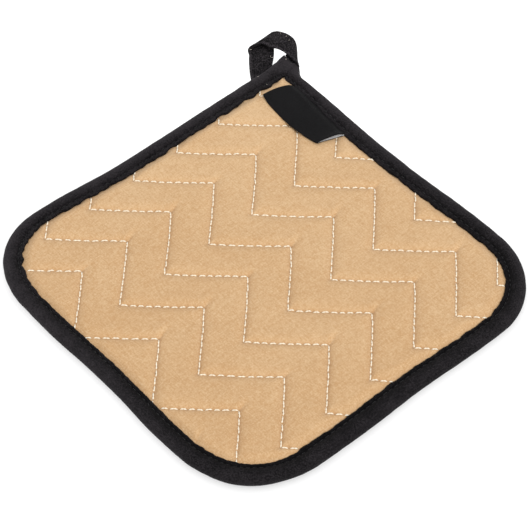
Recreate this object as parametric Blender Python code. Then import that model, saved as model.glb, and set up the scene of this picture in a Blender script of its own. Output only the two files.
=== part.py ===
"""Quilted pot holder: a square pad, its edge bound in folded tape, with a hanging loop at one corner.

Metres, +Z up. The origin is the middle of the pad's underside, which lies on the surface, and +Y
runs from it to the corner that carries the loop. The pad's own square is turned 45 degrees in that
frame: u runs along its quilting rows and v across them.
"""
import math
from collections import namedtuple

import bmesh
import bpy
from mathutils import Matrix, Vector
from mathutils.geometry import delaunay_2d_cdt

MM = 0.001
HALF_SIDE = 101.6 * MM
PAD_TURN = math.radians(-45)
GAP = 0.3 * MM

# The pad's outline: how far each corner is drawn out of the square and the radius that rounds it,
# then how far the side that follows it curves in at its middle and how wide the tape shows there.
# The order is clockwise from above.
Corner = namedtuple("Corner", "name u_sign v_sign u_out v_out radius steps bow width")
CORNERS = (
    Corner("loop", -1, 1, 0.3 * MM, 1.6 * MM, 12.5 * MM, 13, 1.2 * MM, 10.4 * MM),
    Corner("right", 1, 1, 0.6 * MM, 3.4 * MM, 41.5 * MM, 10, 0.4 * MM, 10.5 * MM),
    Corner("near", 1, -1, 0.0, 0.0, 44.0 * MM, 10, 0.6 * MM, 9.4 * MM),
    Corner("left", -1, -1, 3.4 * MM, -0.7 * MM, 40.0 * MM, 10, 0.8 * MM, 10.1 * MM),
)
SIDE_STEPS = 6
TAPE_WIDTH = 10.2 * MM
# The tape broadens as it runs up to the loop corner and leaves it narrower.
LOOP_WIDTH_BEFORE = 10.6 * MM
LOOP_WIDTH_AFTER = 8.2 * MM
LOOP_WIDTH_SHARE = 0.35

# The binding's section: inset from the pad's outer edge, and height. The outer rows run from the
# lower lip round the outside to the upper lip, which dips at its row of stitches.
SectionPoint = namedtuple("SectionPoint", "inset height")
BINDING_OUTSIDE = (
    SectionPoint(10.2 * MM, 0.55 * MM),
    SectionPoint(8.6 * MM, 0.15 * MM),
    SectionPoint(7.4 * MM, 0.0),
    SectionPoint(3.4 * MM, 0.0),
    SectionPoint(1.5 * MM, 0.55 * MM),
    SectionPoint(0.45 * MM, 1.9 * MM),
    SectionPoint(0.0, 3.6 * MM),
    SectionPoint(0.35 * MM, 5.2 * MM),
    SectionPoint(1.4 * MM, 6.5 * MM),
    SectionPoint(3.2 * MM, 7.25 * MM),
    SectionPoint(5.4 * MM, 7.3 * MM),
    SectionPoint(7.0 * MM, 6.75 * MM),
    SectionPoint(7.9 * MM, 6.35 * MM),
    SectionPoint(9.2 * MM, 6.5 * MM),
    SectionPoint(10.2 * MM, 6.05 * MM),
)
BINDING_INSIDE = (
    SectionPoint(10.2 * MM, 5.1 * MM),
    SectionPoint(7.9 * MM, 5.3 * MM),
    SectionPoint(5.4 * MM, 6.1 * MM),
    SectionPoint(3.2 * MM, 6.05 * MM),
    SectionPoint(1.75 * MM, 5.2 * MM),
    SectionPoint(1.25 * MM, 3.6 * MM),
    SectionPoint(1.7 * MM, 2.2 * MM),
    SectionPoint(3.4 * MM, 1.2 * MM),
    SectionPoint(7.4 * MM, 1.15 * MM),
    SectionPoint(10.2 * MM, 1.5 * MM),
)

# The tape's end runs past the loop corner as a flat tab that starts to curl up. Each row is a
# share of the way round the corner, and how far the tab reaches out and rises there.
TabPoint = namedtuple("TabPoint", "turn reach rise")
TAB = (
    TabPoint(0.0, 0.0, 0.0),
    TabPoint(0.2, 1.0 * MM, 0.2 * MM),
    TabPoint(0.4, 4.1 * MM, 1.0 * MM),
    TabPoint(0.54, 8.7 * MM, 2.5 * MM),
    TabPoint(0.65, 6.1 * MM, 2.2 * MM),
    TabPoint(0.75, 4.6 * MM, 1.6 * MM),
    TabPoint(0.92, 3.1 * MM, 0.5 * MM),
    TabPoint(1.0, 0.8 * MM, 0.0),
)
TAB_TIP_REACH = 8.7 * MM
TAB_STRETCH_INSET = 6.5 * MM
TAB_FLATTENING = 0.55
TAB_MID_HEIGHT = 3.6 * MM

# The pad's rim inside the binding: inset, and the heights of its top and bottom. Past the last row
# the pad swells to its full thickness.
RimPoint = namedtuple("RimPoint", "inset top bottom")
RIM = (
    RimPoint(1.8 * MM, 4.2 * MM, 3.0 * MM),
    RimPoint(3.4 * MM, 5.6 * MM, 1.6 * MM),
    RimPoint(5.6 * MM, 5.65 * MM, 1.5 * MM),
    RimPoint(7.9 * MM, 4.95 * MM, 1.5 * MM),
    RimPoint(10.4 * MM, 4.7 * MM, 1.9 * MM),
    RimPoint(11.0 * MM, 5.4 * MM, 1.15 * MM),
)
SWELL_RINGS = (12.8 * MM, 15.5 * MM)
RING_CLEARANCE = 0.6 * MM

# Quilting: rows of right-angled zigzags, stitched through the pad.
ZIGZAG_PERIOD = 57.22 * MM
ZIGZAG_HEIGHT = ZIGZAG_PERIOD / 2
ROW_SPACING = 28.94 * MM
FIRST_LOW_CORNER = (-87.65 * MM, 20.61 * MM)
ROWS_TURN = math.radians(1.21)
ROW_NUMBERS = range(-5, 4)
ROW_REACH = 122 * MM
COLUMNS_PER_LEG = 4
TOP_LEVELS = (0.0, 0.09, 0.25, 0.5, 0.75, 0.91)
BOTTOM_LEVELS = (0.0, 0.16, 0.84)
TOP_AT_STITCHES = 5.9 * MM
TOP_AT_CROWN = 7.45 * MM
PILLOW_ROUNDNESS = 2.2
BOTTOM_GROOVE_DEPTH = 0.9 * MM

# The loop's sewn end lies under the corner and lifts it off the surface.
CORNER_LIFT = 1.8 * MM
FULL_LIFT_WITHIN = 21 * MM
NO_LIFT_BEYOND = 81 * MM

# The hanging loop: the tape's tail, from the tab's end to under the corner, by the places of its
# near and far edges at mid-thickness, in millimetres in the part's frame. It curls up and over,
# runs left as an arch, is folded flat on the slant and comes back below the arch.
LoopStation = namedtuple("LoopStation", "near far")
LOOP = (
    LoopStation((11.6, 139.5, 5.1), (2.8, 149.2, 7.9)),
    LoopStation((12.3, 140.6, 6.4), (5.9, 152.4, 8.1)),
    LoopStation((11.0, 141.4, 8.0), (7.4, 154.0, 9.5)),
    LoopStation((7.2, 142.6, 9.6), (5.9, 156.5, 12.0)),
    LoopStation((4.4, 144.7, 10.9), (3.0, 158.7, 13.4)),
    LoopStation((1.8, 146.9, 11.3), (0.2, 160.2, 13.7)),
    LoopStation((-1.6, 149.1, 11.0), (-2.2, 161.2, 13.2)),
    LoopStation((-5.4, 150.8, 10.2), (-3.3, 161.7, 12.4)),
    LoopStation((-10.5, 151.4, 9.0), (-3.8, 162.0, 11.7)),
    LoopStation((-16.0, 150.8, 7.9), (-4.2, 162.2, 11.3)),
    LoopStation((-17.1, 151.2, 6.7), (-4.3, 162.9, 10.2)),
    LoopStation((-16.6, 149.8, 5.5), (-4.0, 161.8, 9.0)),
    LoopStation((-16.6, 148.0, 5.2), (-3.6, 157.0, 7.4)),
    LoopStation((-16.4, 145.4, 4.6), (-3.2, 151.0, 5.4)),
    LoopStation((-15.8, 141.0, 2.8), (-3.4, 146.5, 3.0)),
    LoopStation((-14.8, 136.5, 1.0), (-4.0, 142.0, 1.1)),
    LoopStation((-13.5, 131.0, 0.75), (-4.0, 136.0, 0.75)),
    LoopStation((-12.0, 124.5, 0.75), (-2.8, 128.5, 0.75)),
)
LOOP_STEPS = 3
TAPE_THICKNESS = 1.1 * MM
# Across the tape: where each line of points lies, and the share of its thickness there.
TapeColumn = namedtuple("TapeColumn", "place thickness")
TAPE_COLUMNS = (
    TapeColumn(0.0, 0.4),
    TapeColumn(0.06, 0.9),
    TapeColumn(0.3, 1.0),
    TapeColumn(0.5, 1.0),
    TapeColumn(0.7, 1.0),
    TapeColumn(0.94, 0.9),
    TapeColumn(1.0, 0.4),
)

# The label: its sewn edge lies against the binding's lip and its free edge on the pad. Each row is
# a place along it: how far its middle arches up there, and how far its free edge curls up.
LabelRow = namedtuple("LabelRow", "sewn_u free_u free_v arch curl")
LABEL = (
    LabelRow(-82.6 * MM, -86.0 * MM, 77.8 * MM, 0.3 * MM, 0.0),
    LabelRow(-73.0 * MM, -75.6 * MM, 76.0 * MM, 0.3 * MM, 0.0),
    LabelRow(-61.0 * MM, -62.6 * MM, 73.5 * MM, 0.2 * MM, 0.1 * MM),
    LabelRow(-55.0 * MM, -56.4 * MM, 73.3 * MM, 0.1 * MM, 0.0),
    LabelRow(-49.5 * MM, -51.0 * MM, 74.0 * MM, 0.1 * MM, 0.1 * MM),
    LabelRow(-43.8 * MM, -45.6 * MM, 74.8 * MM, 0.3 * MM, 0.5 * MM),
    LabelRow(-40.3 * MM, -43.0 * MM, 76.2 * MM, 0.4 * MM, 1.2 * MM),
)
LABEL_STEPS = 2
LABEL_COLUMNS = (0.0, 0.06, 0.12, 0.19, 0.28, 0.44, 0.62, 0.8, 0.97, 1.0)
LABEL_THICKNESS = 1.2 * MM
LABEL_INSET = 10.65 * MM
LABEL_SEEKS = 12
LABEL_SEEK_SHARE = 0.8

SHARP_FROM = math.radians(50)
MERGE = 0.00002
INSET_SLACK = 0.35 * MM


def clear_scene():
    for old in list(bpy.data.objects):
        bpy.data.objects.remove(old, do_unlink=True)


def cloth_material(name, colour, roughness):
    material = bpy.data.materials.new(name)
    material.use_nodes = True
    shader = material.node_tree.nodes["Principled BSDF"]
    shader.inputs["Base Color"].default_value = (*colour, 1.0)
    shader.inputs["Roughness"].default_value = roughness
    shader.inputs["Metallic"].default_value = 0.0
    material.diffuse_color = (*colour, 1.0)
    return material


def tan_cloth():
    return cloth_material("tan_cloth", (0.70, 0.46, 0.24), 0.9)


def black_tape():
    return cloth_material("black_tape", (0.017, 0.015, 0.018), 0.85)


def black_label():
    return cloth_material("black_label", (0.012, 0.012, 0.014), 0.6)


def ease(share):
    share = min(max(share, 0.0), 1.0)
    return share * share * (3 - 2 * share)


def table_value(rows, key, value, at):
    """Reads one column of a table between its rows."""
    for before, after in zip(rows, rows[1:]):
        start = getattr(before, key)
        end = getattr(after, key)
        if at <= end:
            share = min(max((at - start) / (end - start), 0.0), 1.0)
            return getattr(before, value) * (1 - share) + getattr(after, value) * share
    return getattr(rows[-1], value)


# ---- the outline of the pad -------------------------------------------------------------------

Station = namedtuple("Station", "point outward spread reach rise")


def corner_point(corner):
    u = corner.u_sign * (HALF_SIDE + corner.u_out)
    v = corner.v_sign * (HALF_SIDE + corner.v_out)
    return Vector((u, v))


def outward_of(start, end):
    along = (end - start).normalized()
    return Vector((-along.y, along.x))


def corner_widths(before, corner):
    """How wide the tape shows where it comes to a corner and where it leaves it."""
    if corner.name == "loop":
        return LOOP_WIDTH_BEFORE, LOOP_WIDTH_AFTER
    return before.width, corner.width


def corner_stations(before, corner, after):
    """The rounded corner, from the side before it to the side after it."""
    here = corner_point(corner)
    first = outward_of(corner_point(before), here)
    last = outward_of(here, corner_point(after))
    half_turn = first.angle(last) / 2
    middle = (first + last).normalized()
    centre = here - middle * (corner.radius / math.cos(half_turn))
    width_in, width_out = corner_widths(before, corner)
    tab = 1.0 if corner.name == "loop" else 0.0
    stations = []
    for step in range(corner.steps + 1):
        turn = step / corner.steps
        outward = Matrix.Rotation(-2 * half_turn * turn, 2) @ first
        point = centre + outward * corner.radius
        spread = (width_in * (1 - turn) + width_out * turn) / TAPE_WIDTH
        reach = tab * table_value(TAB, "turn", "reach", turn)
        rise = tab * table_value(TAB, "turn", "rise", turn)
        stations.append(Station(point, outward, spread, reach, rise))
    return stations


def side_stations(start, end, side):
    """Points along a side that curves in by its bow, without the two ends."""
    stations = []
    outward = outward_of(start.point, end.point)
    middle = side.width / TAPE_WIDTH
    for step in range(1, SIDE_STEPS + 1):
        share = step / (SIDE_STEPS + 1)
        inward = side.bow * math.sin(math.pi * share) ** 2
        point = start.point.lerp(end.point, share) - outward * inward
        from_start = 1 - ease(share / LOOP_WIDTH_SHARE)
        from_end = 1 - ease((1 - share) / LOOP_WIDTH_SHARE)
        spread = middle + (start.spread - middle) * from_start + (end.spread - middle) * from_end
        stations.append(Station(point, outward, spread, 0.0, 0.0))
    return stations


def outline():
    """All stations round the pad's outer edge, clockwise from above."""
    count = len(CORNERS)
    rounded = [corner_stations(CORNERS[i - 1], CORNERS[i], CORNERS[(i + 1) % count])
               for i in range(count)]
    stations = []
    for i, corner in enumerate(CORNERS):
        stations += rounded[i]
        stations += side_stations(rounded[i][-1], rounded[(i + 1) % count][0], corner)
    return stations


def inset_of(point, stations):
    """How far a point lies inside the outline, in the measure of the tape's nominal width."""
    nearest = math.inf
    inset = 0.0
    for start, end in zip(stations, stations[1:] + stations[:1]):
        side = end.point - start.point
        share = min(max((point - start.point).dot(side) / side.length_squared, 0.0), 1.0)
        offset = point - start.point - side * share
        if offset.length < nearest:
            nearest = offset.length
            spread = start.spread * (1 - share) + end.spread * share
            outward = start.outward.lerp(end.outward, share)
            inset = -math.copysign(nearest, offset.dot(outward)) / spread
    return inset


def inset_loop(stations, inset):
    """The outline moved in, without the places where it would cross itself."""
    loop = []
    for station in stations:
        point = station.point - station.outward * (inset * station.spread)
        if inset_of(point, stations) > inset - INSET_SLACK:
            loop.append(point)
    return loop


def corner_lift(point):
    """The height that the loop's sewn end gives the pad near its corner."""
    distance = (point - corner_point(CORNERS[0])).length
    return CORNER_LIFT * ease((NO_LIFT_BEYOND - distance) / (NO_LIFT_BEYOND - FULL_LIFT_WITHIN))


# ---- the quilting -----------------------------------------------------------------------------


def turned(point, angle):
    return Matrix.Rotation(angle, 2) @ point


def zigzag(along):
    """Height of the zigzag above its low corners, at a place along the rows."""
    phase = ((along - FIRST_LOW_CORNER[0]) / ZIGZAG_PERIOD) % 1.0
    return ZIGZAG_HEIGHT * (1 - abs(2 * phase - 1))


def stitch_level(point):
    """0 on a row of stitches, rising to 1 on the next row."""
    place = turned(point, -ROWS_TURN)
    across = place.y - FIRST_LOW_CORNER[1] - zigzag(place.x)
    return (across / ROW_SPACING) % 1.0


def level_line(row, level):
    """A line of points along a row, at a level between it and the next row."""
    step = ZIGZAG_PERIOD / 2 / COLUMNS_PER_LEG
    reach = math.ceil(ROW_REACH / step)
    first = round(-FIRST_LOW_CORNER[0] / step)
    points = []
    for column in range(first - reach, first + reach + 1):
        along = FIRST_LOW_CORNER[0] + column * step
        across = FIRST_LOW_CORNER[1] + zigzag(along) + (row + level) * ROW_SPACING
        points.append(turned(Vector((along, across)), ROWS_TURN))
    return points


def pillow(level):
    """0 at the stitches and 1 at the crown between two rows."""
    from_stitches = 2 * min(level, 1 - level)
    return 1 - (1 - from_stitches) ** PILLOW_ROUNDNESS


def groove(level):
    """1 at the stitches and 0 where the underside lies flat."""
    from_stitches = min(level, 1 - level) / BOTTOM_LEVELS[1]
    return max(1 - from_stitches, 0.0)


def swelled(inset, face, full):
    """A face's height by the rim's table at the rim, and its full height past the rim's swell."""
    edge = RIM[-1]
    if inset <= edge.inset:
        return table_value(RIM, "inset", face, inset)
    share = min((inset - edge.inset) / (SWELL_RINGS[-1] - edge.inset), 1.0)
    start = getattr(edge, face)
    return start + (full - start) * math.sin(math.pi / 2 * share)


def top_height(point, inset):
    full = TOP_AT_STITCHES + (TOP_AT_CROWN - TOP_AT_STITCHES) * pillow(stitch_level(point))
    return swelled(inset, "top", full)


def bottom_height(point, inset):
    return swelled(inset, "bottom", BOTTOM_GROOVE_DEPTH * groove(stitch_level(point)))


# ---- the solids -------------------------------------------------------------------------------


def new_object(name, mesh_data, material, parent):
    mesh = bpy.data.meshes.new(name)
    mesh_data.to_mesh(mesh)
    mesh_data.free()
    mesh.materials.append(material)
    mesh.shade_smooth()
    mesh.set_sharp_from_angle(angle=SHARP_FROM)
    thing = bpy.data.objects.new(name, mesh)
    bpy.context.scene.collection.objects.link(thing)
    thing.parent = parent
    return thing


def pad_plan(stations, levels):
    """The pad seen from above, in triangles that follow its rim and the quilting rows."""
    points = []
    lines = []
    for inset in [row.inset for row in RIM] + list(SWELL_RINGS):
        ring = inset_loop(stations, inset)
        first = len(points)
        points += ring
        lines += [(first + i, first + (i + 1) % len(ring)) for i in range(len(ring))]
    for row in ROW_NUMBERS:
        for level in levels:
            before = None
            for point in level_line(row, level):
                inset = inset_of(point, stations)
                if inset < RIM[-1].inset + RING_CLEARANCE:
                    before = None
                    continue
                if min(abs(inset - ring) for ring in SWELL_RINGS) < RING_CLEARANCE:
                    continue
                points.append(point)
                if before is not None:
                    lines.append((before, len(points) - 1))
                before = len(points) - 1
    boundary = list(range(len(stations)))
    plan = delaunay_2d_cdt(points, lines, [boundary], 1, MERGE)
    return plan[0], plan[2]


def pad_face(mesh_data, stations, levels, height, upward):
    points, triangles = pad_plan(stations, levels)
    vertices = []
    for point in points:
        z = height(point, inset_of(point, stations)) + corner_lift(point)
        vertices.append(mesh_data.verts.new((point.x, point.y, z)))
    for triangle in triangles:
        corners = [vertices[i] for i in triangle]
        if not upward:
            corners.reverse()
        mesh_data.faces.new(corners)


def quilted_pad(stations, parent):
    mesh_data = bmesh.new()
    pad_face(mesh_data, stations, TOP_LEVELS, top_height, True)
    pad_face(mesh_data, stations, BOTTOM_LEVELS, bottom_height, False)
    rims = [side for side in mesh_data.edges if side.is_boundary]
    bmesh.ops.bridge_loops(mesh_data, edges=rims)
    bmesh.ops.recalc_face_normals(mesh_data, faces=mesh_data.faces)
    return new_object("quilted_pad", mesh_data, tan_cloth(), parent)


def binding_section(station):
    """The binding's closed section at a station, as points in the pad's square."""
    section = []
    for row in BINDING_OUTSIDE:
        share = ease(1 - row.inset / TAB_STRETCH_INSET)
        inset = row.inset * station.spread
        place = station.point + station.outward * (station.reach * share - inset)
        flat = 1 - TAB_FLATTENING * share * station.reach / TAB_TIP_REACH
        height = TAB_MID_HEIGHT + (row.height - TAB_MID_HEIGHT) * flat + station.rise * share
        section.append((place, height))
    for row in BINDING_INSIDE:
        inset = row.inset * station.spread
        section.append((station.point - station.outward * inset, row.height))
    return section


def binding(stations, parent):
    mesh_data = bmesh.new()
    rings = []
    for station in stations:
        ring = []
        for place, height in binding_section(station):
            ring.append(mesh_data.verts.new((place.x, place.y, height + corner_lift(place))))
        rings.append(ring)
    for ring, following in zip(rings, rings[1:] + rings[:1]):
        for i in range(len(ring)):
            j = (i + 1) % len(ring)
            mesh_data.faces.new((ring[i], ring[j], following[j], following[i]))
    bmesh.ops.recalc_face_normals(mesh_data, faces=mesh_data.faces)
    return new_object("binding", mesh_data, black_tape(), parent)


# Which knots each blend of a curve's four places runs between, from the outer blends inward.
CURVE_BLENDS = (((0, 1), (1, 2), (2, 3)), ((0, 2), (1, 3)), ((1, 2),))


def curve_place(places, knots, at):
    """A place between the middle two of four places, on a smooth curve through all of them."""
    for blends in CURVE_BLENDS:
        closer = []
        for i, (start, end) in enumerate(blends):
            share = (at - knots[start]) / (knots[end] - knots[start])
            closer.append(places[i].lerp(places[i + 1], share))
        places = closer
    return places[0]


def smoothed(stations, steps):
    """Stations filled in by smooth curves through them. Each station is a list of places."""
    padded = [stations[0]] + stations + [stations[-1]]
    knots = [0.0]
    for start, end in zip(padded, padded[1:]):
        length = ((start[0] - end[0]).length + (start[1] - end[1]).length) / 2
        knots.append(knots[-1] + math.sqrt(length + MM))
    filled = []
    for i in range(1, len(stations)):
        for step in range(steps):
            at = knots[i] + (knots[i + 1] - knots[i]) * step / steps
            station = []
            for k in range(len(stations[0])):
                places = [near_by[k] for near_by in padded[i - 1:i + 3]]
                station.append(curve_place(places, knots[i - 1:i + 3], at))
            filled.append(station)
    return filled + [stations[-1]]


def slab(mesh_data, middle, offsets):
    """A closed sheet: rows of places at mid-thickness, and how far its upper face is from each."""
    for side in (1, -1):
        face = []
        for places, steps in zip(middle, offsets):
            face.append([mesh_data.verts.new(place + step * side)
                         for place, step in zip(places, steps)])
        for row, following in zip(face, face[1:]):
            for i in range(len(row) - 1):
                mesh_data.faces.new((row[i], row[i + 1], following[i + 1], following[i]))
    rims = [side for side in mesh_data.edges if side.is_boundary]
    bmesh.ops.bridge_loops(mesh_data, edges=rims)
    bmesh.ops.recalc_face_normals(mesh_data, faces=mesh_data.faces)


def facing(rows, i, k):
    """The direction square to a sheet of places, at one of them."""
    before = rows[max(i - 1, 0)][k]
    after = rows[min(i + 1, len(rows) - 1)][k]
    left = rows[i][max(k - 1, 0)]
    right = rows[i][min(k + 1, len(rows[i]) - 1)]
    return (after - before).cross(right - left).normalized()


def hanging_loop():
    mesh_data = bmesh.new()
    stations = [[Vector(station.near) * MM, Vector(station.far) * MM] for station in LOOP]
    middle = []
    for near, far in smoothed(stations, LOOP_STEPS):
        middle.append([near.lerp(far, column.place) for column in TAPE_COLUMNS])
    offsets = []
    for i in range(len(middle)):
        offsets.append([facing(middle, i, k) * (TAPE_THICKNESS / 2 * column.thickness)
                        for k, column in enumerate(TAPE_COLUMNS)])
    slab(mesh_data, middle, offsets)
    return new_object("hanging_loop", mesh_data, black_tape(), None)


def at_inset(u, v, inset, stations):
    """Moves a place across the square until it lies at an inset from the outline."""
    point = Vector((u, v))
    for _ in range(LABEL_SEEKS):
        point.y += (inset_of(point, stations) - inset) * LABEL_SEEK_SHARE
    return point


def label(stations, parent):
    mesh_data = bmesh.new()
    edges = []
    for row in LABEL:
        sewn = at_inset(row.sewn_u, HALF_SIDE, LABEL_INSET, stations)
        free = Vector((row.free_u, row.free_v, 0.0))
        edges.append([sewn.to_3d(), free, Vector((row.arch, row.curl, 0.0))])
    middle = []
    for sewn, free, shape in smoothed(edges, LABEL_STEPS):
        places = []
        for share in LABEL_COLUMNS:
            place = sewn.lerp(free, share)
            inset = inset_of(place.to_2d(), stations)
            rest = swelled(max(inset, RIM[-1].inset), "top", TOP_AT_CROWN)
            place.z = rest + GAP + LABEL_THICKNESS / 2 + corner_lift(place.to_2d())
            place.z += shape.x * math.sin(math.pi * share) + shape.y * share * share
            places.append(place)
        middle.append(places)
    offsets = [[Vector((0.0, 0.0, LABEL_THICKNESS / 2))] * len(LABEL_COLUMNS) for _ in middle]
    slab(mesh_data, middle, offsets)
    return new_object("label", mesh_data, black_label(), parent)


def build():
    clear_scene()
    square = bpy.data.objects.new("pad_square", None)
    bpy.context.scene.collection.objects.link(square)
    square.rotation_euler.z = PAD_TURN
    stations = outline()
    quilted_pad(stations, square)
    binding(stations, square)
    hanging_loop()
    label(stations, square)


build()
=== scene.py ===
"""Looks of a quilted pot holder that lies flat, with its hanging loop at the far corner.

Metres, in the part's frame: +Z up, +Y to the loop corner. The pad's own square is turned 45 degrees
in it: u runs along the quilting rows and v across them.
"""

import math
from collections import namedtuple

import bpy
import numpy as np
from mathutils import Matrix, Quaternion, Vector, noise
from mathutils.bvhtree import BVHTree


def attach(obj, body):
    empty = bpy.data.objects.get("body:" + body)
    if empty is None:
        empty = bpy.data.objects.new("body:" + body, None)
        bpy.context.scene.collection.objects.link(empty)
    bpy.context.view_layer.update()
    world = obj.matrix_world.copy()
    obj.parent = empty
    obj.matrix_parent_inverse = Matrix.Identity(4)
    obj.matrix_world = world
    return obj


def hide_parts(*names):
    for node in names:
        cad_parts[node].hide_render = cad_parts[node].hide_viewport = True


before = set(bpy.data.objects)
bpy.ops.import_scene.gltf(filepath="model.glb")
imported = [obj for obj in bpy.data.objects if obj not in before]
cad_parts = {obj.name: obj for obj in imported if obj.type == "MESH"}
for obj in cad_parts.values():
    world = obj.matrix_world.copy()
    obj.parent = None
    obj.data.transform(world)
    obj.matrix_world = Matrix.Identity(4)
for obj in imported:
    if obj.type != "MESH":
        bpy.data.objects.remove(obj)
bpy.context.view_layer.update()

MM = 0.001
SEED = 11


def sized(kind, *rows, plain=0):
    """Named rows in metres, from rows in millimetres whose first plain values stay as they are."""
    return tuple(kind(*row[:plain], *(value * MM for value in row[plain:])) for row in rows)


# ---- sizes: the part's own solids', and how the sewing strays from them ----

HALF_SIDE = 101.6 * MM

# The corners, clockwise from above: how far out each lies from the even square, the radius of its round,
# and how far the side after it bows inward and how wide the tape shows there.
Corner = namedtuple("Corner", "name u_sign v_sign u_out v_out radius bow width")
CORNERS = sized(
    Corner,
    ("loop", -1, 1, 0.3, 1.6, 12.5, 1.2, 10.4),
    ("right", 1, 1, 0.6, 3.4, 41.5, 0.4, 10.5),
    ("near", 1, -1, 0.0, 0.0, 44.0, 0.6, 9.4),
    ("left", -1, -1, 3.4, -0.7, 40.0, 0.8, 10.1),
    plain=3)
TAPE_WIDTH = 10.2 * MM
CornerWidth = namedtuple("CornerWidth", "turn width")
LOOP_WIDTHS = sized(CornerWidth, (0.0, 10.2), (0.5, 9.2), (0.74, 6.9), (1.0, 7.6), plain=1)
LOOP_WIDTH_SHARE = 0.35

# The folded tape's section: out under the pad, round its edge, in over its top, and back inside.
SectionPoint = namedtuple("SectionPoint", "inset height")
BINDING_SECTION = sized(
    SectionPoint,
    (10.2, 0.55), (8.6, 0.15), (7.4, 0.0), (3.4, 0.0), (1.5, 0.55),
    (0.45, 1.9), (0.0, 3.6), (0.35, 5.2), (1.4, 6.5), (3.2, 7.25),
    (5.4, 7.3), (7.0, 6.75), (7.9, 6.2), (9.2, 6.5), (10.2, 6.05),
    (10.2, 5.1), (7.9, 5.2), (5.4, 6.1), (3.2, 6.05), (1.75, 5.2),
    (1.25, 3.6), (1.7, 2.2), (3.4, 1.2), (7.4, 1.15), (10.2, 1.5))
OUTSIDE_ROWS = 15

# How far the tape's tail reaches out and rises, by its place round the loop corner.
TabPoint = namedtuple("TabPoint", "turn reach rise")
TAB = sized(
    TabPoint,
    (0.0, 0.0, 0.0), (0.2, 1.0, 0.2), (0.4, 4.1, 1.0), (0.54, 8.7, 2.5), (0.60, 6.7, 2.3),
    (0.71, 4.0, 1.5), (0.82, 6.2, 1.0), (0.93, 3.5, 0.6), (1.02, 1.6, 0.2), (1.2, 0.0, 0.0),
    plain=1)
TAB_TIP_REACH = 8.7 * MM
TAB_STRETCH_INSET = 6.5 * MM
TAB_FLATTENING = 0.55
TAB_MID_HEIGHT = 3.6 * MM

# Where the sewn binding bows out, or in, from those sides: the direction from the middle in degrees
# (0 to the right corner, 90 to the loop corner), how many degrees it fades over, and how far its outer
# edge and its lip go out.
TapeBow = namedtuple("TapeBow", "angle width outer lip")
TAPE_BOWS = sized(
    TapeBow,
    (-173, 6, -0.7, -1.0), (-155, 10, 0.7, 0.4), (-115, 9, 0.9, 0.5), (-100, 5, -0.6, -0.6),
    (-81, 5, -0.8, 0.4), (-60, 16, 1.3, 0.9), (-19, 17, 1.0, 1.6), (25, 10, 0.8, 0.3),
    (115, 9, 0.3, 1.0), (141, 10, -0.8, -0.5), (162, 8, 0.3, 1.0),
    plain=2)

RimPoint = namedtuple("RimPoint", "inset top bottom")
RIM = sized(RimPoint, (7.9, 4.95, 1.5), (10.4, 4.7, 1.9), (11.0, 5.4, 1.15))
SWELL_END = 15.5 * MM

ZIGZAG_PERIOD = 57.22 * MM
ROW_SPACING = 28.94 * MM
FIRST_LOW_CORNER = (-87.65 * MM, 20.61 * MM)
ROWS_TURN = math.radians(1.21)
ROW_NUMBERS = range(-5, 5)
LEG_NUMBERS = range(-3, 5)

# How each sewn leg bends off the pattern, by the share of its length, in millimetres: the rising legs
# stray across their own direction (back), the falling ones sideways (right).
LegBend = namedtuple("LegBend", "share back right")
LEG_BENDS = (LegBend(0.0, 0.7, 0.3), LegBend(0.3, 0.4, 0.5), LegBend(0.6, 0.5, 0.3), LegBend(1.0, 1.1, -0.1))
TOP_AT_STITCHES = 5.9 * MM
TOP_AT_CROWN = 7.45 * MM

CORNER_LIFT = 1.8 * MM
FULL_LIFT_WITHIN = 21 * MM
NO_LIFT_BEYOND = 81 * MM

# The hanging loop's two edges: x, y and height of the one nearer the camera, then of the other.
LoopStation = namedtuple("LoopStation", "x y z far_x far_y far_z")
LOOP = sized(
    LoopStation,
    (9.4, 140.2, 5.1, 2.8, 149.2, 7.7),
    (10.3, 141.2, 6.4, 5.9, 152.4, 8.1),
    (9.4, 142.2, 8.0, 8.1, 154.0, 9.5),
    (7.0, 143.9, 9.6, 7.1, 156.5, 12.0),
    (4.4, 145.9, 10.9, 3.9, 158.7, 13.4),
    (1.6, 148.1, 11.3, 0.2, 160.2, 13.7),
    (-1.7, 150.1, 11.0, -2.2, 161.2, 13.2),
    (-5.3, 151.7, 10.3, -3.3, 161.7, 12.4),
    (-10.4, 154.2, 10.2, -3.8, 162.0, 12.0),
    (-15.4, 152.6, 9.0, -4.2, 162.2, 11.5),
    (-17.3, 151.8, 7.3, -4.3, 162.9, 10.2),
    (-16.6, 149.8, 5.5, -4.0, 161.8, 9.0),
    (-16.6, 148.0, 5.2, -3.7, 157.0, 7.4),
    (-16.4, 145.4, 4.6, -3.4, 151.0, 5.4),
    (-15.8, 141.0, 2.8, -3.9, 146.5, 3.0),
    (-14.8, 136.5, 1.0, -4.5, 142.0, 1.1),
    (-13.5, 131.0, 0.75, -4.2, 136.0, 0.75),
    (-12.0, 124.5, 0.75, -2.8, 128.5, 0.75))
TAPE_THICKNESS = 1.1 * MM

# The label along the binding, from the loop's end: where it is sewn in, where its free edge lies, and how
# high it arches between them and curls up at the free edge.
LabelRow = namedtuple("LabelRow", "sewn_u free_u free_v arch curl")
LABEL = sized(
    LabelRow,
    (-81.4, -87.6, 77.6, 0.3, 0.0),
    (-78.0, -82.2, 75.8, 0.3, 0.0),
    (-68.5, -71.4, 74.4, 0.3, 0.0),
    (-59.0, -61.8, 73.9, 0.2, 0.1),
    (-51.0, -52.6, 74.6, 0.2, 0.3),
    (-44.0, -45.8, 75.5, 0.4, 0.8),
    (-41.7, -43.7, 76.0, 0.6, 1.1))
LABEL_TOP_BULGE = 1.3 * MM
LABEL_END_BULGE = 2.0 * MM

# ---- the camera, as fitted to the photograph ----

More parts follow.
